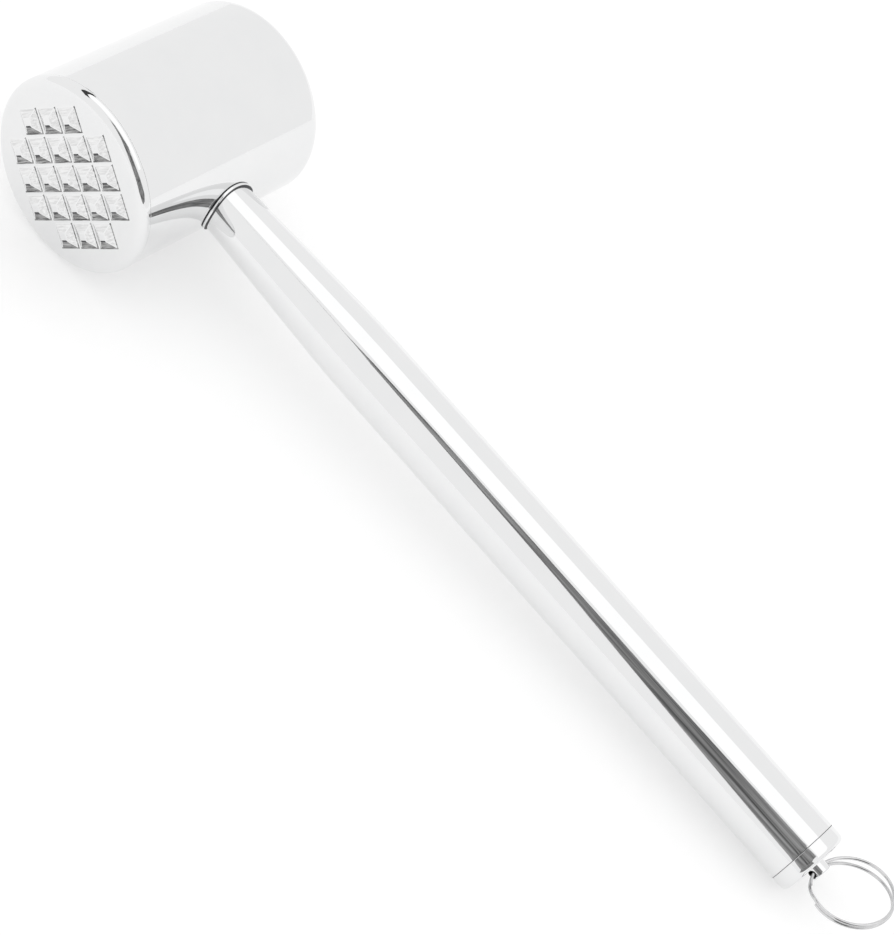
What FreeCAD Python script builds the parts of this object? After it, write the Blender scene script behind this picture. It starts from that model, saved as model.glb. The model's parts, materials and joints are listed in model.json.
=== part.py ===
"""Meat mallet of polished stainless steel, lying on a table as it is put down.

Every piece is first built in the tool's own frame: the origin is the middle of the head, +X runs
along the handle to the butt, -Y points at the toothed face, +Z is up. One placement then tips the
whole tool about the head's axis until the butt touches the table, and centres it over the origin.
"""
import FreeCAD, Part
import math
import os

from FreeCAD import Placement, Rotation, Vector

# ---------------------------------------------------------------- driving sizes, millimetres
HEAD_RADIUS = 30.0              # the drum
HEAD_LENGTH = 75.0              # flat of the toothed face to flat of the smooth face
SHELL_WALL = 1.5                # drawn steel cup
FRONT_ROUND = 3.2               # rim of the toothed face
REAR_ROUND = 5.0                # rim of the smooth face
REGISTER_DEPTH = 4.0            # the toothed plate's step inside the shell

TOOTH_PITCH = 8.7
TOOTH_BASE = 7.7
TOOTH_TIP = 2.4                 # small flat on each tooth
TOOTH_HEIGHT = 1.5
TOOTH_ROOT = 0.5                # each tooth's block reaches this far into the plate
TOOTH_ROWS = (3, 5, 5, 5, 3)    # teeth in each row
TOOTH_TURN = -40.0              # degrees that the rows are turned from the handle

REAR_DISC_THICKNESS = 4.0
CORE_RADIUS = 16.0              # the weight
CORE_SEAT_DEPTH = 2.0           # recess that takes each end of the weight
CORE_FLAT_DEPTH = 1.0           # flat milled for the handle's washer

NECK_RADIUS = 8.5               # where the handle meets the head
GRIP_RADIUS = 11.0
TUBE_WALL = 1.0
NECK_END = 87.0                 # from the head's axis to the end of the taper
NECK_BLEND = 200.0              # radius that eases the taper into the grip
COLLAR_THICKNESS = 1.1
COLLAR_OVERHANG = 0.8           # the bead stands out this far round the neck

SPIGOT_RADIUS = 7.2
SPIGOT_ROOT = 2.0               # the spigot's bar runs this far into the plug's body
PLUG_END = 72.0                 # from the head's axis
STUD_RADIUS = 4.0               # M8
STUD_IN_CORE = 22.0
STUD_IN_PLUG = 30.0
STUD_CHAMFER = 0.6
THREAD_RUNOUT = 2.0             # drilled depth left past the stud, at both ends
SPRING_WASHER_RADIUS = 6.9
SPRING_WASHER_THICKNESS = 2.0
SPRING_WASHER_SLOT = 1.2

TUBE_END = 277.4                # from the head's axis to the seam of the end cap
CAP_LENGTH = 5.0                # what shows past the seam
CAP_ROUND = 1.8
CAP_WALL = 2.5
SKIRT_LENGTH = 8.0
SKIRT_WALL = 1.5

EYE_RADIUS = 3.0
EYE_EDGE = 0.5
EYE_BRIDGE = 0.45               # metal outside the hole
EYE_FOOT = 0.15                 # metal between the hole and the end cap
SHANK_RADIUS = 2.0              # M4
SHANK_PAST_NUT = 1.0
EYE_WASHER_RADIUS = 4.5
EYE_WASHER_THICKNESS = 0.8
NUT_ACROSS_FLATS = 7.0
NUT_THICKNESS = 3.2

RING_RADIUS = 11.6              # middle of the wire
WIRE_RADIUS = 0.5
RING_LIFT = 20.0                # degrees that the ring stands above the handle's line
RING_SEAT = 0.2                 # the wire hangs this far to the butt's side of the hole's middle
TURN_GAP = 0.04                 # between the two turns where they lie together
TURN_SPREAD = 1.95              # how much further they stand apart where the ring is sprung open
SPREAD_FROM = 5.0               # degrees round the ring from the eye
SPREAD_TO = 180.0
FIRST_END = 325.0               # where the wire starts
LAST_END = 295.0                # where it stops, after two turns less the step between them
WIRE_STEP = 15.0                # degrees between the points of the wire's path
RING_CLEARANCE = 0.08           # between the wire and the mouth of the eye's hole

SLIDE_FIT = 0.05                # radial clearance of pieces that slip into each other
BRAZE_GAP = 0.05                # between the tube and the plug

# ---------------------------------------------------------------- sizes that follow
FRONT = -HEAD_LENGTH / 2
REAR = HEAD_LENGTH / 2
SEAM = FRONT + FRONT_ROUND
BORE_RADIUS = HEAD_RADIUS - SHELL_WALL
REGISTER_END = SEAM + REGISTER_DEPTH
REAR_WALL_INSIDE = REAR - SHELL_WALL
DISC_FRONT = REAR_WALL_INSIDE - REAR_DISC_THICKNESS
CORE_FLAT = CORE_RADIUS - CORE_FLAT_DEPTH
COLLAR_TOP = HEAD_RADIUS + COLLAR_THICKNESS
PLUG_START = CORE_FLAT + SPRING_WASHER_THICKNESS
BUTT = TUBE_END + CAP_LENGTH
CAP_INSIDE = BUTT - CAP_WALL
TUBE_BORE = GRIP_RADIUS - TUBE_WALL
SKIRT_RADIUS = TUBE_BORE - SLIDE_FIT
NUT_START = CAP_INSIDE - EYE_WASHER_THICKNESS
TURN_APART = 2 * WIRE_RADIUS + TURN_GAP


def turns_apart(around):
    """Distance between the middles of the two turns at an angle round the ring from the eye."""
    if SPREAD_FROM < around < SPREAD_TO:
        share = (around - SPREAD_FROM) / (SPREAD_TO - SPREAD_FROM)
        return TURN_APART + TURN_SPREAD * math.sin(math.pi * share)
    return TURN_APART


def eye_hole_radius():
    """Room for both turns at the mouth of the hole, where they already bend away from its axis."""
    angle = math.asin(EYE_RADIUS / RING_RADIUS)
    out = RING_RADIUS * (1 - math.cos(angle)) - RING_SEAT
    aside = turns_apart(math.degrees(angle)) / 2
    return math.hypot(out, aside) + WIRE_RADIUS + RING_CLEARANCE


EYE_HOLE_RADIUS = eye_hole_radius()
EYE_AXIS = BUTT + EYE_FOOT + EYE_HOLE_RADIUS
EYE_END = EYE_AXIS + EYE_HOLE_RADIUS + EYE_BRIDGE

# ---------------------------------------------------------------- small helpers
X_AXIS = Vector(1, 0, 0)
Y_AXIS = Vector(0, 1, 0)
MIDDLE = Vector(0, 0, 0)


def rod_x(radius, start, end):
    """Round bar along the handle."""
    return Part.makeCylinder(radius, end - start, Vector(start, 0, 0), X_AXIS)


def rod_y(radius, start, end):
    """Round bar along the head."""
    return Part.makeCylinder(radius, end - start, Vector(0, start, 0), Y_AXIS)


def spun(points, axis):
    """Solid made by spinning a closed outline of corners round an axis through the middle.

    A corner given as a pair (middle of arc, end of arc) is reached by an arc."""
    edges = []
    here = points[0]
    for step in points[1:] + [points[0]]:
        if isinstance(step, tuple):
            edges.append(Part.Arc(here, step[0], step[1]).toShape())
            here = step[1]
        else:
            if here.distanceToPoint(step) > 1e-7:
                edges.append(Part.makeLine(here, step))
            here = step
    face = Part.Face(Part.Wire(edges))
    return face.revolve(MIDDLE, axis, 360)


def along_head(radius, y):
    """Point of an outline that is spun round the head's axis."""
    return Vector(radius, y, 0)


def along_handle(x, radius):
    """Point of an outline that is spun round the handle's axis."""
    return Vector(x, 0, radius)


def quarter(centre_radius, centre_y, size, sign):
    """Arc from the drum's side to its end face: (middle, end), sign gives the end."""
    half = size * math.sqrt(0.5)
    middle = along_head(centre_radius + half, centre_y + sign * half)
    return middle, along_head(centre_radius, centre_y + sign * size)


# ---------------------------------------------------------------- head
def head_shell():
    """Drawn cup: the drum's side and the smooth striking face, open towards the teeth."""
    outer_arc = quarter(HEAD_RADIUS - REAR_ROUND, REAR - REAR_ROUND, REAR_ROUND, 1)
    cup = spun([along_head(0, SEAM),
                along_head(HEAD_RADIUS, SEAM),
                along_head(HEAD_RADIUS, REAR - REAR_ROUND),
                outer_arc,
                along_head(0, REAR)], Y_AXIS)
    inner_round = REAR_ROUND - SHELL_WALL
    inner_arc = quarter(BORE_RADIUS - inner_round, REAR_WALL_INSIDE - inner_round, inner_round, 1)
    hollow = spun([along_head(0, SEAM),
                   along_head(BORE_RADIUS, SEAM),
                   along_head(BORE_RADIUS, REAR_WALL_INSIDE - inner_round),
                   inner_arc,
                   along_head(0, REAR_WALL_INSIDE)], Y_AXIS)
    neck_hole = rod_x(SPIGOT_RADIUS + SLIDE_FIT, 0, COLLAR_TOP)
    return cup.cut(hollow).cut(neck_hole)


def tooth(across, up):
    """One blunt pyramid, standing on the face and rooted a little in it."""
    sections = ((FRONT + TOOTH_ROOT, TOOTH_BASE / 2),
                (FRONT, TOOTH_BASE / 2),
                (FRONT - TOOTH_HEIGHT, TOOTH_TIP / 2))
    wires = []
    for y, half in sections:
        corners = [Vector(across + i * half, y, up + j * half)
                   for i, j in ((-1, -1), (1, -1), (1, 1), (-1, 1), (-1, -1))]
        wires.append(Part.makePolygon(corners))
    return Part.makeLoft(wires, True, True)


def toothed_face():
    """Thick striking plate: teeth, rounded rim, and a step that registers in the shell."""
    rim_arc = (along_head(HEAD_RADIUS - FRONT_ROUND * (1 - math.sqrt(0.5)),
                          SEAM - FRONT_ROUND * math.sqrt(0.5)),
               along_head(HEAD_RADIUS - FRONT_ROUND, FRONT))
    plate = spun([along_head(0, REGISTER_END),
                  along_head(BORE_RADIUS - SLIDE_FIT, REGISTER_END),
                  along_head(BORE_RADIUS - SLIDE_FIT, SEAM),
                  along_head(HEAD_RADIUS, SEAM),
                  rim_arc,
                  along_head(0, FRONT)], Y_AXIS)
    teeth = []
    for row, count in enumerate(TOOTH_ROWS):
        for column in range(count):
            across = (column - (count - 1) / 2) * TOOTH_PITCH
            up = (row - (len(TOOTH_ROWS) - 1) / 2) * TOOTH_PITCH
            teeth.append(tooth(across, up))
    pattern = Part.makeCompound(teeth)
    pattern.rotate(MIDDLE, Y_AXIS, -TOOTH_TURN)
    plate = plate.fuse(pattern.Solids).removeSplitter()
    seat = rod_y(CORE_RADIUS + SLIDE_FIT, REGISTER_END - CORE_SEAT_DEPTH, REGISTER_END)
    return plate.cut(seat)


def rear_disc():
    """Backing disc behind the smooth face, with a seat for the weight."""
    edge = REAR_ROUND - SHELL_WALL
    radius = BORE_RADIUS - SLIDE_FIT
    edge_arc = quarter(radius - edge, REAR_WALL_INSIDE - edge, edge, 1)
    disc = spun([along_head(0, DISC_FRONT),
                 along_head(radius, DISC_FRONT),
                 along_head(radius, REAR_WALL_INSIDE - edge),
                 edge_arc,
                 along_head(0, REAR_WALL_INSIDE)], Y_AXIS)
    seat = rod_y(CORE_RADIUS + SLIDE_FIT, DISC_FRONT, DISC_FRONT + CORE_SEAT_DEPTH)
    return disc.cut(seat)


def head_core():
    """Steel weight that carries the blow between the faces and takes the handle's thread."""
    start = REGISTER_END - CORE_SEAT_DEPTH
    end = DISC_FRONT + CORE_SEAT_DEPTH
    bar = rod_y(CORE_RADIUS, start, end)
    spot = rod_x(SPRING_WASHER_RADIUS + 2 * SLIDE_FIT, CORE_FLAT, CORE_RADIUS)
    thread = rod_x(STUD_RADIUS + SLIDE_FIT, CORE_FLAT - STUD_IN_CORE - THREAD_RUNOUT, CORE_RADIUS)
    return bar.cut(spot).cut(thread)


# ---------------------------------------------------------------- neck
def neck_collar():
    """Thin bead between the head and the neck, shaped to the drum like a saddle."""
    ring = rod_x(NECK_RADIUS + COLLAR_OVERHANG, 0, COLLAR_TOP)
    ring = ring.cut(rod_x(SPIGOT_RADIUS + SLIDE_FIT, 0, COLLAR_TOP))
    band = rod_y(COLLAR_TOP, -HEAD_RADIUS, HEAD_RADIUS).cut(rod_y(HEAD_RADIUS, -HEAD_RADIUS, HEAD_RADIUS))
    return ring.common(band)


def taper_outline(neck, grip, blend):
    """Upper line of the handle from the head's axis to its end: points, with one eased corner."""
    slope = math.atan2(grip - neck, NECK_END - HEAD_RADIUS)
    tangent = blend * math.tan(slope / 2)
    start_radius = neck - HEAD_RADIUS * math.tan(slope)
    before = along_handle(NECK_END - tangent * math.cos(slope), grip - tangent * math.sin(slope))
    middle = along_handle(NECK_END + tangent - blend * math.sin(slope / 2),
                          grip - blend * (1 - math.cos(slope / 2)))
    after = along_handle(NECK_END + tangent, grip)
    return [along_handle(0, start_radius), before, (middle, after), along_handle(TUBE_END, grip)]


def handle_form(shrink):
    """Solid shape of the handle, smaller all round by what is given."""
    line = taper_outline(NECK_RADIUS - shrink, GRIP_RADIUS - shrink, NECK_BLEND - shrink)
    return spun([MIDDLE] + line + [along_handle(TUBE_END, 0)], X_AXIS)


def handle_tube():
    """One drawn tube, swaged narrow at the neck and cut to sit on the collar."""
    tube = handle_form(0).cut(handle_form(TUBE_WALL))
    saddle = rod_y(COLLAR_TOP, -HEAD_RADIUS, HEAD_RADIUS)
    return tube.cut(saddle)


def neck_plug():
    """Turned plug brazed in the neck, whose spigot goes through the shell to the washer."""
    body = handle_form(TUBE_WALL + BRAZE_GAP).common(rod_x(GRIP_RADIUS, 0, PLUG_END))
    body = body.cut(rod_y(COLLAR_TOP, -HEAD_RADIUS, HEAD_RADIUS))
    spigot = rod_x(SPIGOT_RADIUS, PLUG_START, COLLAR_TOP + SPIGOT_ROOT)
    thread = rod_x(STUD_RADIUS + SLIDE_FIT, PLUG_START, PLUG_START + STUD_IN_PLUG + THREAD_RUNOUT)
    return body.fuse(spigot).removeSplitter().cut(thread)


def tie_stud():
    """M8 stud that draws the handle down onto the weight."""
    start = CORE_FLAT - STUD_IN_CORE
    stud = rod_x(STUD_RADIUS, start, PLUG_START + STUD_IN_PLUG)
    return stud.makeChamfer(STUD_CHAMFER, [edge for edge in stud.Edges if edge.Closed])


def lock_washer():
    """Spring washer between the weight and the plug, with its slot."""
    ring = rod_x(SPRING_WASHER_RADIUS, CORE_FLAT, PLUG_START)
    ring = ring.cut(rod_x(STUD_RADIUS + 2 * SLIDE_FIT, CORE_FLAT, PLUG_START))
    slot = Part.makeBox(SPRING_WASHER_THICKNESS, SPRING_WASHER_SLOT, SPRING_WASHER_RADIUS,
                        Vector(CORE_FLAT, -SPRING_WASHER_SLOT / 2, 0))
    return ring.cut(slot)


# ---------------------------------------------------------------- butt
def end_cap():
    """Cap that closes the tube, with a skirt inside it and a hole for the eye's shank."""
    half = CAP_ROUND * (1 - math.sqrt(0.5))
    edge_arc = (along_handle(BUTT - half, GRIP_RADIUS - half),
                along_handle(BUTT, GRIP_RADIUS - CAP_ROUND))
    skirt_inside = SKIRT_RADIUS - SKIRT_WALL
    cap = spun([along_handle(TUBE_END - SKIRT_LENGTH, skirt_inside),
                along_handle(TUBE_END - SKIRT_LENGTH, SKIRT_RADIUS),
                along_handle(TUBE_END, SKIRT_RADIUS),
                along_handle(TUBE_END, GRIP_RADIUS),
                along_handle(BUTT - CAP_ROUND, GRIP_RADIUS),
                edge_arc,
                along_handle(BUTT, 0),
                along_handle(CAP_INSIDE, 0),
                along_handle(CAP_INSIDE, skirt_inside)], X_AXIS)
    return cap.cut(rod_x(SHANK_RADIUS + SLIDE_FIT, CAP_INSIDE, BUTT))


def hanging_eye():
    """Cross-drilled round head with a threaded shank."""
    head = rod_x(EYE_RADIUS, BUTT, EYE_END)
    head = head.makeFillet(EYE_EDGE, [edge for edge in head.Edges
                                      if edge.Closed and edge.CenterOfMass.x > EYE_AXIS])
    shank = rod_x(SHANK_RADIUS, NUT_START - NUT_THICKNESS - SHANK_PAST_NUT, BUTT)
    hole = Part.makeCylinder(EYE_HOLE_RADIUS, 2 * EYE_RADIUS, Vector(EYE_AXIS, -EYE_RADIUS, 0), Y_AXIS)
    return head.fuse(shank).cut(hole)


def eye_washer():
    """Plain washer under the eye's nut."""
    ring = rod_x(EYE_WASHER_RADIUS, NUT_START, CAP_INSIDE)
    return ring.cut(rod_x(SHANK_RADIUS + 2 * SLIDE_FIT, NUT_START, CAP_INSIDE))


def eye_nut():
    """Hexagon nut that holds the eye."""
    corner = NUT_ACROSS_FLATS / math.sqrt(3)
    points = []
    for side in range(7):
        turn = math.radians(60 * side)
        points.append(Vector(NUT_START - NUT_THICKNESS, corner * math.cos(turn), corner * math.sin(turn)))
    blank = Part.Face(Part.makePolygon(points)).extrude(X_AXIS * NUT_THICKNESS)
    return blank.cut(rod_x(SHANK_RADIUS + SLIDE_FIT, NUT_START - NUT_THICKNESS, NUT_START))


def turn_side(wound):
    """+1 on the upper turn, -1 on the lower one, easing over at the step between them."""
    step = FIRST_END - LAST_END
    ahead = wound - (360 - step)
    if ahead <= 0:
        return 1.0
    if ahead >= step:
        return -1.0
    return math.cos(math.pi * ahead / step)


def split_ring():
    """Two turns of spring wire through the eye, a little sprung open on one side."""
    wound_in_all = 720 - (FIRST_END - LAST_END)
    steps = round(wound_in_all / WIRE_STEP)
    path = []
    for number in range(steps + 1):
        wound = wound_in_all * number / steps
        around = (FIRST_END + wound) % 360
        angle = math.radians(around)
        out = RING_RADIUS * (1 - math.cos(angle)) - RING_SEAT
        side = turn_side(wound) * turns_apart(around) / 2
        path.append(Vector(EYE_AXIS + out, RING_RADIUS * math.sin(angle), side))
    curve = Part.BSplineCurve()
    curve.interpolate(path)
    spine = Part.Wire(curve.toShape())
    start = Part.Wire(Part.makeCircle(WIRE_RADIUS, path[0], curve.tangent(curve.FirstParameter)[0]))
    ring = spine.makePipeShell([start], True, True)
    ring.rotate(Vector(EYE_AXIS, 0, 0), Y_AXIS, -RING_LIFT)
    return ring


# ---------------------------------------------------------------- the tool, laid on the table
def lying_tilt():
    """Degrees that the handle tips down, with the drum's side and the cap's edge on the table."""
    along = BUTT - CAP_ROUND
    out = GRIP_RADIUS - CAP_ROUND
    reach = math.hypot(along, out)
    return math.degrees(math.asin((HEAD_RADIUS - CAP_ROUND) / reach) - math.atan2(out, along))


PIECES = (head_shell, toothed_face, rear_disc, head_core, neck_collar, handle_tube, neck_plug,
          tie_stud, lock_washer, end_cap, hanging_eye, eye_washer, eye_nut, split_ring)

os.makedirs("parts", exist_ok=True)

tilt = lying_tilt()
shapes = {piece.__name__: piece() for piece in PIECES}
tip = Placement(Vector(0, 0, HEAD_RADIUS), Rotation(Y_AXIS, tilt))
for shape in shapes.values():
    shape.Placement = tip.multiply(shape.Placement)

far_end = shapes["split_ring"].optimalBoundingBox(False, False).XMax
centre_x = (far_end - HEAD_RADIUS) / 2
centre_y = -TOOTH_HEIGHT / 2
for name, shape in shapes.items():
    shape.translate(Vector(-centre_x, -centre_y, 0))
    shape.exportStep("parts/" + name + ".step")
    box = shape.optimalBoundingBox(False, False)
    print(name, "solids", len(shape.Solids), "valid", shape.isValid(), "volume", round(shape.Volume, 1),
          "x", round(box.XMin, 2), round(box.XMax, 2), "y", round(box.YMin, 2), round(box.YMax, 2),
          "z", round(box.ZMin, 2), round(box.ZMax, 2))

eye = tip.multVec(Vector(EYE_AXIS, 0, 0)) + Vector(-centre_x, -centre_y, 0)
print("tilt", round(tilt, 4), "hinge at", [round(value, 4) for value in eye])
print("head axis at x", round(-centre_x, 4), "y", round(-centre_y, 4))
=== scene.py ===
# %% [markdown]
# # A polished steel meat mallet
# The mallet is a short steel drum on a tube handle. One end of the drum carries blunt pyramid
# teeth and the other is smooth. Everything that shows is mirror bright, so the lesson is about two
# things: surfaces that are clean enough to reflect straight lines, and a studio that gives them
# something worth reflecting.

# %% load the working model
import json
import math

import bmesh
import bpy
from mathutils import Matrix, Vector


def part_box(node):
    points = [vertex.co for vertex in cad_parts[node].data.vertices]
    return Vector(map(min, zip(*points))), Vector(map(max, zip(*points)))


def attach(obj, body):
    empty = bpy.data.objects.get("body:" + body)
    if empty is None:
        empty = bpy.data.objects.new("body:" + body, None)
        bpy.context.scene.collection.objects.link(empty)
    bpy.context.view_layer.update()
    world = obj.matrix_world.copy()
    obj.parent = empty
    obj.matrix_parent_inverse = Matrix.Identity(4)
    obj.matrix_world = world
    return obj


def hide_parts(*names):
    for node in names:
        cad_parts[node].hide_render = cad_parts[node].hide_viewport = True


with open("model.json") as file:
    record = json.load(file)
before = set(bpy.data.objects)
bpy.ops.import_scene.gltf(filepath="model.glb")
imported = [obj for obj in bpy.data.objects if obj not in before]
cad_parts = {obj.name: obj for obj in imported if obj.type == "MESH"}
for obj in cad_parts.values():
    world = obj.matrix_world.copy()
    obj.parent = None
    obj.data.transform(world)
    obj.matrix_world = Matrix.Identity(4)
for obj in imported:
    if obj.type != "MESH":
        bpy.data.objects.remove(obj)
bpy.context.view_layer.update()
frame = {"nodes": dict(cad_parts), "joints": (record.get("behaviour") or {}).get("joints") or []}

# %% [markdown]
# ## Sizes
# The frame is in metres. The tool was drawn upright in its own frame, with the middle of the drum
# at the origin, +X along the handle and -Y towards the teeth, and then laid down on the table. We
# do the same: each piece is modelled in that simple frame and laid down at the end. The drum's
# middle comes from its box, and the tilt comes from the hinge of the ring, which is on the
# handle's axis.

# %% sizes of the tool
MM = 0.001

HEAD_RADIUS = 30 * MM
HEAD_LENGTH = 75 * MM
SHELL_WALL = 1.5 * MM
FRONT_ROUND = 3.2 * MM
REAR_ROUND = 5 * MM
REGISTER_DEPTH = 4 * MM
SLIDE_FIT = 0.05 * MM

TOOTH_PITCH = 8.7 * MM
TOOTH_BASE = 7.7 * MM
TOOTH_TIP = 2.4 * MM
TOOTH_HEIGHT = 1.5 * MM
TOOTH_EDGE = 0.3 * MM           # rounding of a tooth's edges, worn soft by polishing
TOOTH_TURN = math.radians(-40)

NECK_RADIUS = 8.5 * MM
GRIP_RADIUS = 11 * MM
TUBE_WALL = 1 * MM
NECK_END = 87 * MM
NECK_EASE = 9 * MM
COLLAR_THICKNESS = 1.1 * MM
COLLAR_OVERHANG = 0.8 * MM

TUBE_END = 277.4 * MM
CAP_LENGTH = 5 * MM
CAP_ROUND = 1.8 * MM
SKIRT_LENGTH = 8 * MM

EYE_RADIUS = 3 * MM
EYE_HEIGHT = 3.2 * MM
EYE_EDGE = 0.5 * MM
EYE_HOLE_RADIUS = 1.3 * MM
EYE_HOLE_HEIGHT = 1.45 * MM
SHANK_RADIUS = 2 * MM

RING_RADIUS = 11.6 * MM
WIRE_RADIUS = 0.5 * MM
RING_LIFT = math.radians(20)
RING_SEAT = 0.2 * MM
TURN_GAP = 0.04 * MM
TURN_SPREAD = 1.95 * MM
SPREAD_FROM = 5
SPREAD_TO = 180
FIRST_END = 325
LAST_END = 295

SEAM_EDGE = 0.14 * MM           # the broken edge on each side of a seam
COLLAR_FOOT_SEAM = 0.26 * MM    # how far the dark of its seams reaches up and down the collar
COLLAR_TOP_SEAM = 0.12 * MM

FRONT = -HEAD_LENGTH / 2
REAR = HEAD_LENGTH / 2
SEAM = FRONT + FRONT_ROUND
COLLAR_TOP = HEAD_RADIUS + COLLAR_THICKNESS
BUTT = TUBE_END + CAP_LENGTH
EYE_AXIS = BUTT + EYE_HOLE_HEIGHT

# %% where the tool lies
drum_low, drum_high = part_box("head_shell")
hinge = Vector(frame["joints"][0]["pos_m"])
drum_middle = Vector(((drum_low.x + drum_high.x) / 2, hinge.y, HEAD_RADIUS))
handle_run = hinge - drum_middle
tilt = math.atan2(-handle_run.z, handle_run.x)
LYING = Matrix.Translation(drum_middle) @ Matrix.Rotation(tilt, 4, "Y")
print("drum middle", [round(value, 5) for value in drum_middle], "tilt", round(math.degrees(tilt), 3))

# %% [markdown]
# ## Working by hand, in code
# Modelling by hand is: select something, use a tool on it, look, go on. These helpers are the
# selecting. An operator acts on all that is selected, and loading the frame left its nodes
# selected, so each helper clears the selection first.

# %% helpers for selecting and finishing
def only(piece):
    """Selects one piece and makes it the active one."""
    if bpy.context.object and bpy.context.object.mode != "OBJECT":
        bpy.ops.object.mode_set(mode="OBJECT")
    bpy.ops.object.select_all(action="DESELECT")
    piece.select_set(True)
    bpy.context.view_layer.objects.active = piece


def settle(piece):
    """Puts the piece's place, turn and scale into its mesh."""
    only(piece)
    bpy.ops.object.transform_apply(location=True, rotation=True, scale=True)
    return piece


def pick_faces(piece, test):
    """In edit mode, selects the faces that pass a test and returns how many there are."""
    only(piece)
    bpy.ops.object.mode_set(mode="EDIT")
    bpy.ops.mesh.select_mode(type="FACE")
    bpy.ops.mesh.select_all(action="DESELECT")
    mesh = bmesh.from_edit_mesh(piece.data)
    chosen = [face for face in mesh.faces if test(face)]
    for face in chosen:
        face.select_set(True)
    mesh.select_flush_mode()
    bmesh.update_edit_mesh(piece.data)
    return len(chosen)


def pick_edges(piece, test):
    """In edit mode, selects the edges that pass a test and returns how many there are."""
    only(piece)
    bpy.ops.object.mode_set(mode="EDIT")
    bpy.ops.mesh.select_mode(type="EDGE")
    bpy.ops.mesh.select_all(action="DESELECT")
    mesh = bmesh.from_edit_mesh(piece.data)
    chosen = [edge for edge in mesh.edges if test(edge)]
    for edge in chosen:
        edge.select_set(True)
    mesh.select_flush_mode()
    bmesh.update_edit_mesh(piece.data)
    return len(chosen)


def done(piece):
    """Leaves edit mode."""
    only(piece)
    return piece


NEAR = 0.001 * MM


def ring_at(axis, place, radius=None):
    """Test for the edges of a ring round an axis (0 is X, 1 is Y) at a place along it."""
    def test(edge):
        for vertex in edge.verts:
            if abs(vertex.co[axis] - place) > NEAR:
                return False
            if radius is not None:
                across = math.hypot(vertex.co[1 - axis], vertex.co.z)
                if abs(across - radius) > 0.05 * MM:
                    return False
        return True
    return test


def facing(axis, sign):
    """Test for the flat faces that look along an axis."""
    return lambda face: face.normal[axis] * sign > 0.999


def cylinder(name, axis, radius, start, end, sides, fill="NGON"):
    """Cylinder along X (axis 0) or Y (axis 1), from a start to an end, settled in its mesh."""
    bpy.ops.object.select_all(action="DESELECT")
    middle = [0, 0, 0]
    middle[axis] = (start + end) / 2
    turn = (0, math.pi / 2, 0) if axis == 0 else (math.pi / 2, 0, 0)
    bpy.ops.mesh.primitive_cylinder_add(vertices=sides, radius=radius, depth=end - start,
                                        end_fill_type=fill, location=middle, rotation=turn)
    piece = bpy.context.object
    piece.name = name
    return settle(piece)


def bevel(size, steps):
    """Rounds the selected edges."""
    bpy.ops.mesh.bevel(offset_type="OFFSET", offset=size, segments=steps, profile=0.5,
                       affect="EDGES", clamp_overlap=False)


def apply_modifier(piece, kind, **settings):
    """Adds a modifier, sets it and applies it."""
    only(piece)
    modifier = piece.modifiers.new(kind.lower(), kind)
    for key, value in settings.items():
        setattr(modifier, key, value)
    bpy.ops.object.modifier_apply(modifier=modifier.name)


def shade(piece, angle=32):
    """Smooth shading that keeps true edges, with large faces setting the shading of their rims."""
    only(piece)
    bpy.ops.object.shade_smooth_by_angle(angle=math.radians(angle))
    apply_modifier(piece, "WEIGHTED_NORMAL", keep_sharp=True, weight=100)


def lay_down(piece):
    """Lays a finished piece on the table with the rest of the tool."""
    only(piece)
    piece.matrix_world = LYING
    return settle(piece)


def hand_over(piece, node, body="mallet"):
    """Hides the CAD node that the piece stands in for, hangs the piece on the body it moves with and
    prints its size.
    """
    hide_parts(node)
    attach(piece, body)
    sizes = [round(value / MM, 2) for value in piece.dimensions]
    print(piece.name, "faces", len(piece.data.polygons), "size mm", sizes)

# %% [markdown]
# ## Finishes
# A mirror polish isn't perfect. The buffing wheel leaves the roughness a little uneven, it leaves
# hair lines that are too fine to see one by one, and it drags the surface into a very low swell
# that bends straight reflections. A flat roughness value has none of that and looks computed, so
# the roughness and the bump both come from noise at those scales, on Object coordinates.

# %% material helpers
def new_material(name):
    """Empty node material with a metal shader: returns the material, its nodes and a linker."""
    material = bpy.data.materials.new(name)
    material.use_nodes = True
    tree = material.node_tree
    shader = tree.nodes["Principled BSDF"]
    shader.inputs["Metallic"].default_value = 1.0
    return material, tree, shader


def node(tree, kind, **values):
    """Adds a node and sets its inputs by name."""
    made = tree.nodes.new(kind)
    for key, value in values.items():
        made.inputs[key].default_value = value
    return made


def ramp(tree, low, high, from_low=0.0, from_high=1.0):
    """Maps a value from one span to another, clamped."""
    made = tree.nodes.new("ShaderNodeMapRange")
    made.inputs["From Min"].default_value = from_low
    made.inputs["From Max"].default_value = from_high
    made.inputs["To Min"].default_value = low
    made.inputs["To Max"].default_value = high
    return made


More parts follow.
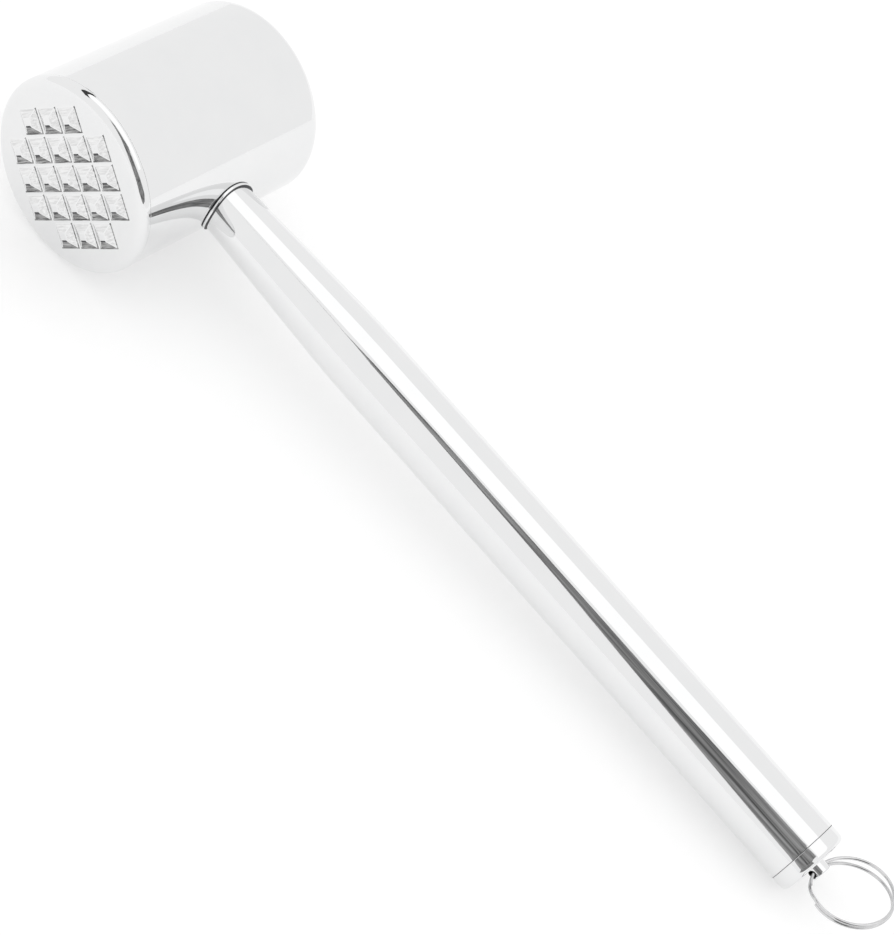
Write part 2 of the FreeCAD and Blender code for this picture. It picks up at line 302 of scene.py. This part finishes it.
# %% mirror steel
def mirror_steel():
    """Buffed stainless steel: bright, a little cool, with hair lines and a low swell."""
    material, tree, shader = new_material("mirror_steel")
    link = tree.links.new
    place = tree.nodes.new("ShaderNodeTexCoord")

    cloud = node(tree, "ShaderNodeTexNoise", Scale=90.0, Detail=4.0, Roughness=0.6)
    link(place.outputs["Object"], cloud.inputs["Vector"])
    tone = tree.nodes.new("ShaderNodeMix")
    tone.data_type = "RGBA"
    tone.inputs["A"].default_value = (0.80, 0.805, 0.81, 1)
    tone.inputs["B"].default_value = (0.84, 0.84, 0.84, 1)
    link(cloud.outputs["Fac"], tone.inputs["Factor"])
    link(tone.outputs["Result"], shader.inputs["Base Color"])

    stretch = tree.nodes.new("ShaderNodeMapping")
    stretch.inputs["Scale"].default_value = (60, 900, 900)
    link(place.outputs["Object"], stretch.inputs["Vector"])
    hairs = node(tree, "ShaderNodeTexNoise", Scale=6.0, Detail=6.0, Roughness=0.7)
    link(stretch.outputs["Vector"], hairs.inputs["Vector"])
    polish = ramp(tree, 0.02, 0.07, 0.3, 0.75)
    link(hairs.outputs["Fac"], polish.inputs["Value"])
    link(polish.outputs["Result"], shader.inputs["Roughness"])

    swell = node(tree, "ShaderNodeTexNoise", Scale=55.0, Detail=1.0, Roughness=0.4)
    link(place.outputs["Object"], swell.inputs["Vector"])
    low = node(tree, "ShaderNodeBump", Strength=0.12, Distance=0.0002)
    link(swell.outputs["Fac"], low.inputs["Height"])
    fine = node(tree, "ShaderNodeBump", Strength=0.03, Distance=0.00001)
    link(hairs.outputs["Fac"], fine.inputs["Height"])
    link(low.outputs["Normal"], fine.inputs["Normal"])
    link(fine.outputs["Normal"], shader.inputs["Normal"])
    return material


MIRROR = mirror_steel()
print("finish", MIRROR.name)


# %% the teeth's steel, and a copy darkened for painted shade
STREAK_WIDTH = 1 / 1800
STREAK_LENGTH = 1 / 200


def flank_steel(name, low, high):
    """Duller steel of the teeth's flanks, with streaks that run across the rows; a dark copy of it
    paints shade on the lower flanks.
    """
    material, tree, shader = new_material(name)
    link = tree.links.new
    place = tree.nodes.new("ShaderNodeTexCoord")
    along = tree.nodes.new("ShaderNodeMapping")
    along.vector_type = "TEXTURE"
    along.inputs["Rotation"].default_value = (0, -TOOTH_TURN, 0)
    along.inputs["Scale"].default_value = (STREAK_WIDTH, STREAK_WIDTH, STREAK_LENGTH)
    link(place.outputs["Object"], along.inputs["Vector"])
    streaks = node(tree, "ShaderNodeTexNoise", Scale=1.0, Detail=4.0, Roughness=0.6)
    link(along.outputs["Vector"], streaks.inputs["Vector"])
    tone = ramp(tree, low, high, 0.35, 0.65)
    link(streaks.outputs["Fac"], tone.inputs["Value"])
    link(tone.outputs["Result"], shader.inputs["Base Color"])
    wear = ramp(tree, 0.22, 0.08)
    link(streaks.outputs["Fac"], wear.inputs["Value"])
    link(wear.outputs["Result"], shader.inputs["Roughness"])
    groove = node(tree, "ShaderNodeBump", Strength=0.5, Distance=0.00004)
    link(streaks.outputs["Fac"], groove.inputs["Height"])
    link(groove.outputs["Normal"], shader.inputs["Normal"])
    return material


FLANK = flank_steel("flank_steel", 0.66, 0.84)
# The dark copy is painted shade for the lower flanks and the feet of the teeth.
SHADED_FLANK = flank_steel("painted_shade_flank_steel", 0.04, 0.5)
print("teeth's steel", FLANK.name, SHADED_FLANK.name)


# %% painted shade in the seams, with a little grime
def seam_shade_and_grime_steel():
    """Dark steel with a little grime: painted shade for the fine grooves where two pieces meet and for
    the lower edge of each tooth's tip.
    """
    material, tree, shader = new_material("seam_shade_and_grime_steel")
    place = tree.nodes.new("ShaderNodeTexCoord")
    shade_and_grime_noise = node(tree, "ShaderNodeTexNoise", Scale=400.0, Detail=4.0, Roughness=0.6)
    tree.links.new(place.outputs["Object"], shade_and_grime_noise.inputs["Vector"])
    # Painted shade: a near black base colour, varied a little by the grime noise.
    tone = tree.nodes.new("ShaderNodeMix")
    tone.data_type = "RGBA"
    tone.inputs["A"].default_value = (0.05, 0.05, 0.055, 1)
    tone.inputs["B"].default_value = (0.16, 0.16, 0.165, 1)
    tree.links.new(shade_and_grime_noise.outputs["Fac"], tone.inputs["Factor"])
    tree.links.new(tone.outputs["Result"], shader.inputs["Base Color"])
    span = ramp(tree, 0.45, 0.7)
    tree.links.new(shade_and_grime_noise.outputs["Fac"], span.inputs["Value"])
    tree.links.new(span.outputs["Result"], shader.inputs["Roughness"])
    return material


SEAM_SHADE_AND_GRIME = seam_shade_and_grime_steel()


def paint_seam_shade(piece, chosen):
    """Gives the painted seam shade, with a little grime, to the faces whose middle passes a test."""
    piece.data.materials.append(SEAM_SHADE_AND_GRIME)
    found = 0
    for face in piece.data.polygons:
        if chosen(face.center):
            face.material_index = len(piece.data.materials) - 1
            found += 1
    print(piece.name, "joint faces", found)


# %% plain and plated steel for what is inside
def turned_steel(name, colour, worn, rough):
    """Steel straight from the lathe: fine rings from the tool, a little stain."""
    material, tree, shader = new_material(name)
    link = tree.links.new
    place = tree.nodes.new("ShaderNodeTexCoord")
    stain = node(tree, "ShaderNodeTexNoise", Scale=160.0, Detail=6.0, Roughness=0.65)
    link(place.outputs["Object"], stain.inputs["Vector"])
    tone = tree.nodes.new("ShaderNodeMix")
    tone.data_type = "RGBA"
    tone.inputs["A"].default_value = worn
    tone.inputs["B"].default_value = colour
    link(stain.outputs["Fac"], tone.inputs["Factor"])
    link(tone.outputs["Result"], shader.inputs["Base Color"])
    rings = node(tree, "ShaderNodeTexWave", Scale=900.0, Distortion=1.5, Detail=2.0)
    link(place.outputs["Object"], rings.inputs["Vector"])
    span = ramp(tree, rough, rough + 0.12)
    link(rings.outputs["Fac"], span.inputs["Value"])
    link(span.outputs["Result"], shader.inputs["Roughness"])
    lines = node(tree, "ShaderNodeBump", Strength=0.25, Distance=0.00002)
    link(rings.outputs["Fac"], lines.inputs["Height"])
    link(lines.outputs["Normal"], shader.inputs["Normal"])
    return material


PLAIN = turned_steel("plain_steel", (0.55, 0.55, 0.56, 1), (0.42, 0.41, 0.40, 1), 0.28)
PLATED = turned_steel("zinc_steel", (0.70, 0.71, 0.74, 1), (0.60, 0.61, 0.63, 1), 0.2)


# %% spring wire
def spring_wire():
    """Bright drawn wire, a little duller than the polished steel, with a fine grain."""
    material, tree, shader = new_material("spring_wire")
    link = tree.links.new
    place = tree.nodes.new("ShaderNodeTexCoord")
    draw = node(tree, "ShaderNodeTexNoise", Scale=700.0, Detail=5.0, Roughness=0.6)
    link(place.outputs["Object"], draw.inputs["Vector"])
    tone = tree.nodes.new("ShaderNodeMix")
    tone.data_type = "RGBA"
    tone.inputs["A"].default_value = (0.54, 0.54, 0.55, 1)
    tone.inputs["B"].default_value = (0.74, 0.74, 0.74, 1)
    link(draw.outputs["Fac"], tone.inputs["Factor"])
    link(tone.outputs["Result"], shader.inputs["Base Color"])
    polish = ramp(tree, 0.05, 0.13, 0.3, 0.7)
    link(draw.outputs["Fac"], polish.inputs["Value"])
    link(polish.outputs["Result"], shader.inputs["Roughness"])
    return material


WIRE = spring_wire()

# %% [markdown]
# ## The drum
# The real drum is a drawn cup: a flat disc of steel pressed into a can, so its closed end has a
# round corner and its open end is closed by the toothed plate. A cylinder with one end cut off, a
# bevelled rim and a Solidify wall is the same thing. A narrow inset inside the rounded rim keeps
# the flat end truly flat in the reflection.

# %% the drum shell
DRUM_SIDES = 256

drum = cylinder("drum_shell", 1, HEAD_RADIUS, SEAM, REAR, DRUM_SIDES)
pick_faces(drum, facing(1, -1))
bpy.ops.mesh.delete(type="FACE")
pick_edges(drum, ring_at(1, REAR))
bevel(REAR_ROUND, 16)
pick_faces(drum, facing(1, 1))
bpy.ops.mesh.inset(thickness=0.5 * MM)
apply_modifier(drum, "SOLIDIFY", thickness=SHELL_WALL, offset=-1.0, use_even_offset=True)
pick_edges(drum, ring_at(1, SEAM, HEAD_RADIUS))
bevel(SEAM_EDGE, 2)
done(drum)
shade(drum)
lay_down(drum)
drum.data.materials.append(MIRROR)
hand_over(drum, "head_shell")

# %% [markdown]
# ## The toothed plate
# The teeth are cut in rows from a thick plate. Modelled by hand, the flat face is bisected into a
# square grid, the cells that become teeth are inset one by one, and a second inset with depth
# raises each one into a blunt pyramid. That keeps plate and teeth one clean surface, where
# separate pyramids pushed into a disc would leave hidden faces. The last bevel breaks the edges:
# on polished steel those narrow bands catch the light and draw each tooth.

# %% the plate and its rim
plate = cylinder("toothed_plate", 1, HEAD_RADIUS, FRONT, SEAM, DRUM_SIDES)
pick_faces(plate, facing(1, 1))
bpy.ops.mesh.inset(thickness=SHELL_WALL + SLIDE_FIT)
bpy.ops.mesh.extrude_region_move(TRANSFORM_OT_translate={"value": (0, REGISTER_DEPTH, 0)})
pick_edges(plate, ring_at(1, FRONT))
bevel(FRONT_ROUND - 2 * SEAM_EDGE, 12)
pick_edges(plate, ring_at(1, SEAM, HEAD_RADIUS))
bevel(SEAM_EDGE, 2)
pick_faces(plate, facing(1, -1))
bpy.ops.mesh.inset(thickness=0.4 * MM)
done(plate)

# %% the grid of teeth
ROW = Vector((math.cos(TOOTH_TURN), 0, math.sin(TOOTH_TURN)))
COLUMN = Vector((-math.sin(TOOTH_TURN), 0, math.cos(TOOTH_TURN)))
FLAT_RADIUS = HEAD_RADIUS - FRONT_ROUND - 0.1 * MM


def on_flat(face):
    """Faces of the plate's flat front, inside the narrow inset."""
    middle = face.calc_center_median()
    return face.normal.y < -0.999 and math.hypot(middle.x, middle.z) < FLAT_RADIUS


for direction in (ROW, COLUMN):
    for line in range(6):
        pick_faces(plate, on_flat)
        bpy.ops.mesh.bisect(plane_co=direction * (line - 2.5) * TOOTH_PITCH, plane_no=direction,
                            use_fill=False, threshold=1e-7)


def is_tooth(face):
    """Whole cells of the grid, five by five without the corners."""
    if not on_flat(face):
        return False
    middle = face.calc_center_median()
    row = middle.dot(ROW) / TOOTH_PITCH
    column = middle.dot(COLUMN) / TOOTH_PITCH
    inside = abs(row) < 2.1 and abs(column) < 2.1
    return inside and not (abs(row) > 1.5 and abs(column) > 1.5)


tooth_count = pick_faces(plate, is_tooth)
bpy.ops.mesh.inset(thickness=(TOOTH_PITCH - TOOTH_BASE) / 2, use_individual=True)
bpy.ops.mesh.inset(thickness=(TOOTH_BASE - TOOTH_TIP) / 2, depth=TOOTH_HEIGHT, use_individual=True)
print("teeth", tooth_count)


# %% the teeth's broken edges
def tooth_edge(edge):
    """Edges where two faces of the tooth pattern meet at an angle."""
    if len(edge.link_faces) != 2:
        return False
    middle = (edge.verts[0].co + edge.verts[1].co) / 2
    if middle.y > FRONT + NEAR or math.hypot(middle.x, middle.z) > FLAT_RADIUS - MM:
        return False
    return edge.calc_face_angle() > math.radians(8)


pick_edges(plate, tooth_edge)
bevel(TOOTH_EDGE, 5)
done(plate)

# %% the teeth's flanks, with painted shade on the lower ones
STEEP = 0.42                    # a low flank faces down the rows by at least this
TOP_EDGE = 0.8                  # shares of a tooth's height
FOOT_EDGE = 0.08
FLAT_SLOT, SIDE_SLOT, FLANK_SHADE_SLOT, TIP_SHADE_SLOT = range(4)
for finish in (MIRROR, FLANK, SHADED_FLANK, SEAM_SHADE_AND_GRIME):
    plate.data.materials.append(finish)


def tooth_finish(face):
    """Which of the plate's four materials a face of a tooth gets: painted shade on the lower flanks and
    the feet, and a painted dark line along the lower edge of each tip.
    """
    down = face.normal.dot(ROW)
    across = face.normal.dot(COLUMN)
    height = (FRONT - face.center.y) / TOOTH_HEIGHT
    # The lower edge of each tip gets painted shade as a thin dark line.
    if 0.04 < down < 0.44 and height > TOP_EDGE and abs(across) < 0.1:
        return TIP_SHADE_SLOT
    # Lower flanks and the fillets at their feet get the painted shade.
    if down > STEEP:
        return FLANK_SHADE_SLOT
    if height < FOOT_EDGE and face.normal.y > -0.995 and max(down, across) > 0.05:
        return FLANK_SHADE_SLOT
    return SIDE_SLOT if face.normal.y > -0.9 else FLAT_SLOT


finish_counts = [0, 0, 0, 0]
for face in plate.data.polygons:
    beyond = math.hypot(face.center.x, face.center.z) > FLAT_RADIUS - MM
    if beyond or face.center.y > FRONT - NEAR:
        continue
    face.material_index = tooth_finish(face)
    finish_counts[face.material_index] += 1
print("faces of flat, side, low and dark finish", finish_counts)
shade(plate)
lay_down(plate)
hand_over(plate, "toothed_face")

# %% [markdown]
# ## The collar
# A thin polished bead closes the joint between drum and neck. It is a ring whose two ends follow
# the drum, like a saddle. A rounded ring is modelled flat, and then each of its points slides
# along the handle by as much as the drum falls away under it.

# %% the neck collar
def follow_drum(piece, chosen=lambda point: True):
    """Slides points along the handle by the fall of the drum's side below them."""
    for vertex in piece.data.vertices:
        if chosen(vertex.co):
            vertex.co.x += math.sqrt(HEAD_RADIUS ** 2 - vertex.co.z ** 2) - HEAD_RADIUS


collar = cylinder("neck_collar", 0, NECK_RADIUS + COLLAR_OVERHANG, HEAD_RADIUS, COLLAR_TOP, 128)
pick_edges(collar, ring_at(0, COLLAR_TOP))
bevel(0.42 * MM, 6)
pick_edges(collar, ring_at(0, HEAD_RADIUS))
bevel(0.3 * MM, 4)
pick_faces(collar, facing(0, 1))
bpy.ops.mesh.inset(thickness=NECK_RADIUS + COLLAR_OVERHANG - 0.42 * MM - 7.3 * MM)
done(collar)
collar.data.materials.append(MIRROR)
# The collar's two seam bands get painted shade, with a little grime.
paint_seam_shade(collar, lambda middle: middle.x < HEAD_RADIUS + COLLAR_FOOT_SEAM
             or middle.x > COLLAR_TOP - COLLAR_TOP_SEAM)
follow_drum(collar)
shade(collar, 50)
lay_down(collar)
hand_over(collar, "neck_collar")

# %% [markdown]
# ## The handle
# The handle is one tube, swaged narrow at the neck. A cylinder is cut where the taper ends, its
# near ring is scaled down, and the corner between taper and grip is eased by a long bevel. The
# near end then follows the drum, and Solidify gives the wall.

# %% the handle tube
handle = cylinder("handle_tube", 0, GRIP_RADIUS, COLLAR_TOP, TUBE_END, 192, fill="NOTHING")
pick_faces(handle, lambda face: True)
bpy.ops.mesh.bisect(plane_co=(NECK_END, 0, 0), plane_no=(1, 0, 0), use_fill=False)
pick_edges(handle, ring_at(0, COLLAR_TOP))
shrink = NECK_RADIUS / GRIP_RADIUS
bpy.ops.transform.resize(value=(1, shrink, shrink), center_override=(COLLAR_TOP, 0, 0))
pick_edges(handle, ring_at(0, NECK_END))
bevel(NECK_EASE, 12)
pick_faces(handle, lambda face: True)
bpy.ops.mesh.bisect(plane_co=(COLLAR_TOP + 2 * MM, 0, 0), plane_no=(1, 0, 0), use_fill=False)
pick_faces(handle, lambda face: True)
bpy.ops.mesh.bisect(plane_co=(TUBE_END - 2 * MM, 0, 0), plane_no=(1, 0, 0), use_fill=False)
done(handle)
follow_drum(handle, lambda point: point.x < COLLAR_TOP + NEAR)
apply_modifier(handle, "SOLIDIFY", thickness=TUBE_WALL, offset=-1.0, use_even_offset=True)
pick_edges(handle, ring_at(0, TUBE_END, GRIP_RADIUS))
bevel(SEAM_EDGE, 2)
done(handle)
handle.data.materials.append(MIRROR)
# The tube's broken edge at the cap gets painted seam shade, with a little grime.
paint_seam_shade(handle, lambda middle: middle.x > TUBE_END - SEAM_EDGE)
shade(handle)
lay_down(handle)
hand_over(handle, "handle_tube")

# %% [markdown]
# ## The end cap
# The cap is turned with a skirt that slips into the tube. Its rim is rounded, its seam edge is
# broken and its seam faces get painted shade with a little grime, so a fine dark line shows where the
# two polished pieces meet.

# %% the end cap
cap = cylinder("end_cap", 0, GRIP_RADIUS, TUBE_END, BUTT, 192)
pick_faces(cap, facing(0, -1))
bpy.ops.mesh.inset(thickness=TUBE_WALL + SLIDE_FIT)
bpy.ops.mesh.extrude_region_move(TRANSFORM_OT_translate={"value": (-SKIRT_LENGTH, 0, 0)})
pick_edges(cap, ring_at(0, BUTT))
bevel(CAP_ROUND, 10)
pick_edges(cap, ring_at(0, TUBE_END, GRIP_RADIUS))
bevel(SEAM_EDGE, 2)
pick_faces(cap, facing(0, 1))
bpy.ops.mesh.inset(thickness=0.3 * MM)
done(cap)
cap.data.materials.append(MIRROR)
# The cap's faces at the seam get painted shade, with a little grime.
paint_seam_shade(cap, lambda middle: middle.x < TUBE_END + 0.6 * SEAM_EDGE)
shade(cap)
lay_down(cap)
hand_over(cap, "end_cap")

# %% [markdown]
# ## The eye
# A small cross-drilled stud holds the ring. The hole is a Boolean with a second cylinder, which is
# what the drill does.

# %% the hanging eye
eye = cylinder("hanging_eye", 0, EYE_RADIUS, BUTT, BUTT + EYE_HEIGHT, 96)
pick_faces(eye, facing(0, -1))
bpy.ops.mesh.inset(thickness=EYE_RADIUS - SHANK_RADIUS)
bpy.ops.mesh.extrude_region_move(TRANSFORM_OT_translate={"value": (-SKIRT_LENGTH, 0, 0)})
pick_edges(eye, ring_at(0, BUTT + EYE_HEIGHT))
bevel(EYE_EDGE, 5)
done(eye)
drill = cylinder("drill", 1, EYE_HOLE_RADIUS, -2 * EYE_RADIUS, 2 * EYE_RADIUS, 64)
drill.location.x = EYE_AXIS
settle(drill)
apply_modifier(eye, "BOOLEAN", object=drill, operation="DIFFERENCE", solver="EXACT")
bpy.data.objects.remove(drill)
only(eye)
bpy.ops.object.mode_set(mode="EDIT")
bpy.ops.mesh.select_all(action="SELECT")
bpy.ops.mesh.remove_doubles(threshold=0.01 * MM)
bpy.ops.mesh.dissolve_degenerate(threshold=0.01 * MM)
bpy.ops.object.mode_set(mode="OBJECT")
shade(eye)
lay_down(eye)
eye.data.materials.append(MIRROR)
hand_over(eye, "hanging_eye")

# %% [markdown]
# ## The split ring
# Two turns of spring wire, a little sprung open on one side where the ring was forced over the
# eye. A curve with a round bevel is the natural tool for wire: the loop below walks twice round
# and lifts the wire from the lower turn to the upper one at the step between its two ends.

# %% the ring's wire
def turn_side(wound):
    """+1 on the upper turn, -1 on the lower one, easing over at the step between them."""
    step = FIRST_END - LAST_END
    ahead = wound - (360 - step)
    if ahead <= 0:
        return 1.0
    if ahead >= step:
        return -1.0
    return math.cos(math.pi * ahead / step)


def turns_apart(around):
    """Distance between the middles of the two turns, by the angle round from the eye."""
    together = 2 * WIRE_RADIUS + TURN_GAP
    if SPREAD_FROM < around < SPREAD_TO:
        share = (around - SPREAD_FROM) / (SPREAD_TO - SPREAD_FROM)
        return together + TURN_SPREAD * math.sin(math.pi * share)
    return together


def wire_point(wound):
    """Point of the wire's middle after so many degrees from its first end."""
    around = (FIRST_END + wound) % 360
    angle = math.radians(around)
    out = RING_RADIUS * (1 - math.cos(angle)) - RING_SEAT
    side = turn_side(wound) * turns_apart(around) / 2
    flat = Vector((out, RING_RADIUS * math.sin(angle), side))
    flat.rotate(Matrix.Rotation(-RING_LIFT, 3, "Y"))
    return Vector((EYE_AXIS, 0, 0)) + flat


WIRE_STEP = 5
wound_in_all = 720 - (FIRST_END - LAST_END)
wire = bpy.data.curves.new("split_ring", "CURVE")
wire.dimensions = "3D"
wire.bevel_depth = WIRE_RADIUS
wire.bevel_resolution = 6
wire.use_fill_caps = True
line = wire.splines.new("POLY")
stops = wound_in_all // WIRE_STEP
line.points.add(stops)
for number in range(stops + 1):
    line.points[number].co = (*wire_point(number * WIRE_STEP), 1)
ring = bpy.data.objects.new("split_ring_wire", wire)
bpy.context.scene.collection.objects.link(ring)
only(ring)
bpy.ops.object.convert(target="MESH")
ring = bpy.context.object
shade(ring, 50)
lay_down(ring)
ring.data.materials.clear()
ring.data.materials.append(WIRE)
hand_over(ring, "split_ring", body="ring")

# %% [markdown]
# ## What is inside
# The weight, the plug, the stud and the small fasteners can't be seen, but they are real pieces
# and keep their CAD shape. They get a turned or a plated finish.

# %% finishes of the inner pieces
INSIDE = {"rear_disc": PLAIN, "head_core": PLAIN, "neck_plug": PLAIN, "tie_stud": PLATED,
          "lock_washer": PLATED, "eye_washer": PLATED, "eye_nut": PLATED}
for name, finish in INSIDE.items():
    inner = frame["nodes"][name]
    inner.data.materials.clear()
    inner.data.materials.append(finish)
print("inner pieces", len(INSIDE))

# %% [markdown]
# ## Floor, light and camera
# Polished steel shows its surroundings, so the studio is the other half of the finish. A white
# room makes it white, and dark cards draw the stripes that say metal.

# %% the floor
bpy.ops.object.select_all(action="DESELECT")
bpy.ops.mesh.primitive_plane_add(size=6, location=(0, 0, 0))
floor = bpy.context.object
floor.name = "floor"
paper = bpy.data.materials.new("paper")
paper.use_nodes = True
paper_shader = paper.node_tree.nodes["Principled BSDF"]
paper_shader.inputs["Base Color"].default_value = (0.62, 0.62, 0.62, 1)
paper_shader.inputs["Roughness"].default_value = 0.9
paper_shader.inputs["Emission Color"].default_value = (1, 1, 1, 1)
paper_shader.inputs["Emission Strength"].default_value = 0.4
floor.data.materials.append(paper)

# %% the room's light
world = bpy.data.worlds.new("studio")
bpy.context.scene.world = world
world.use_nodes = True
background = world.node_tree.nodes["Background"]
background.inputs["Color"].default_value = (1, 1, 1, 1)
background.inputs["Strength"].default_value = 1.0
bpy.context.scene.view_settings.view_transform = "Standard"

# %% the box overhead
SOFT_LONG = 2.6
SOFT_WIDE = 0.9
SOFT_HEIGHT = 1.2
SOFT_ACROSS = 0.09              # the middle of the box is a little behind the handle
SOFT_GLOW = 0.22                # brightness, with the room's light as 1
box_light = bpy.data.lights.new("soft_box", "AREA")
box_light.shape = "RECTANGLE"
box_light.size = SOFT_LONG
box_light.size_y = SOFT_WIDE
box_light.energy = SOFT_GLOW * math.pi * SOFT_LONG * SOFT_WIDE
soft_box = bpy.data.objects.new("soft_box", box_light)
soft_box.location = (0, SOFT_ACROSS, SOFT_HEIGHT)
bpy.context.scene.collection.objects.link(soft_box)
print("soft box watts", round(box_light.energy, 1))

# %% the camera
AIM = Vector((-0.0124, 0.01315, 0.003))
CAMERA_AWAY = 0.7686
CAMERA_ROUND = math.radians(-71.03)
CAMERA_UP = math.radians(47.11)
CAMERA_ROLL = math.radians(31.54)

lens = bpy.data.cameras.new("camera")
lens.lens = 100.65
lens.sensor_width = 36
lens.clip_start = 0.01
camera = bpy.data.objects.new("camera", lens)
bpy.context.scene.collection.objects.link(camera)
back = Vector((math.cos(CAMERA_UP) * math.cos(CAMERA_ROUND),
               math.cos(CAMERA_UP) * math.sin(CAMERA_ROUND), math.sin(CAMERA_UP)))
camera.location = AIM + CAMERA_AWAY * back
level = back.to_track_quat("Z", "Y").to_matrix().to_4x4()
camera.matrix_world = Matrix.Translation(camera.location) @ level @ Matrix.Rotation(CAMERA_ROLL, 4, "Z")
bpy.context.scene.camera = camera

# %% [markdown]
# ### Dark cards
# A mirror in a white room is only white. Studios hang dark card around a polished piece, just out
# of view, and its reflection becomes the crisp dark stripe that says metal. One card hangs behind
# the lens, drawn on a 5 cm grid. Its middle makes the wide end of the handle's stripe and its
# narrow top the thin end. The other hangs behind on the left, for the front rim.

# %% the dark cards
def dark_card(name, outline, shade):
    """Flat matt card with its corners where they are given, in metres."""
    mesh = bpy.data.meshes.new(name)
    mesh.from_pydata(outline, [], [tuple(range(len(outline)))])
    card = bpy.data.objects.new(name, mesh)
    bpy.context.scene.collection.objects.link(card)
    matt = bpy.data.materials.new(name)
    matt.use_nodes = True
    surface = matt.node_tree.nodes["Principled BSDF"]
    place = matt.node_tree.nodes.new("ShaderNodeTexCoord")
    scuffs = node(matt.node_tree, "ShaderNodeTexNoise", Scale=9.0, Detail=3.0, Roughness=0.6)
    matt.node_tree.links.new(place.outputs["Object"], scuffs.inputs["Vector"])
    tone = ramp(matt.node_tree, 0.35 * shade, 1.5 * shade, 0.35, 0.65)
    matt.node_tree.links.new(scuffs.outputs["Fac"], tone.inputs["Value"])
    matt.node_tree.links.new(tone.outputs["Result"], surface.inputs["Base Color"])
    surface.inputs["Roughness"].default_value = 1.0
    surface.inputs["Specular IOR Level"].default_value = 0.0
    mesh.materials.append(matt)
    card.visible_camera = False
    card.visible_diffuse = False
    card.visible_shadow = False
    return card


BEHIND_LENS = 0.02
LEFT_SIDE = [(-0.4, -0.4), (-0.15, 0.1), (-0.15, 0.4), (-0.2, 0.65)]
RIGHT_SIDE = [(-0.15, 0.45), (0, 0.4), (0.1, 0.2), (0.25, 0.15), (0.15, 0), (0.2, -0.2), (0.8, -0.8)]
FOOT = [(0.7, -1.1), (-0.3, -1.1)]
outline = LEFT_SIDE + RIGHT_SIDE + FOOT
lens_corners = [camera.matrix_world @ Vector((right, up, BEHIND_LENS)) for right, up in outline]
dark_card("lens_card", lens_corners, 0.24)

BACK_CARD = [(-1.02, 0.82, 0.95), (-1.15, 0.38, 0.95), (-1.18, -0.10, 0.95), (-1.02, -0.50, 0.95),
             (-0.92, -0.45, 1.10), (-1.05, -0.08, 1.12), (-1.02, 0.36, 1.12), (-0.92, 0.74, 1.10)]
dark_card("back_card", BACK_CARD, 0.05)
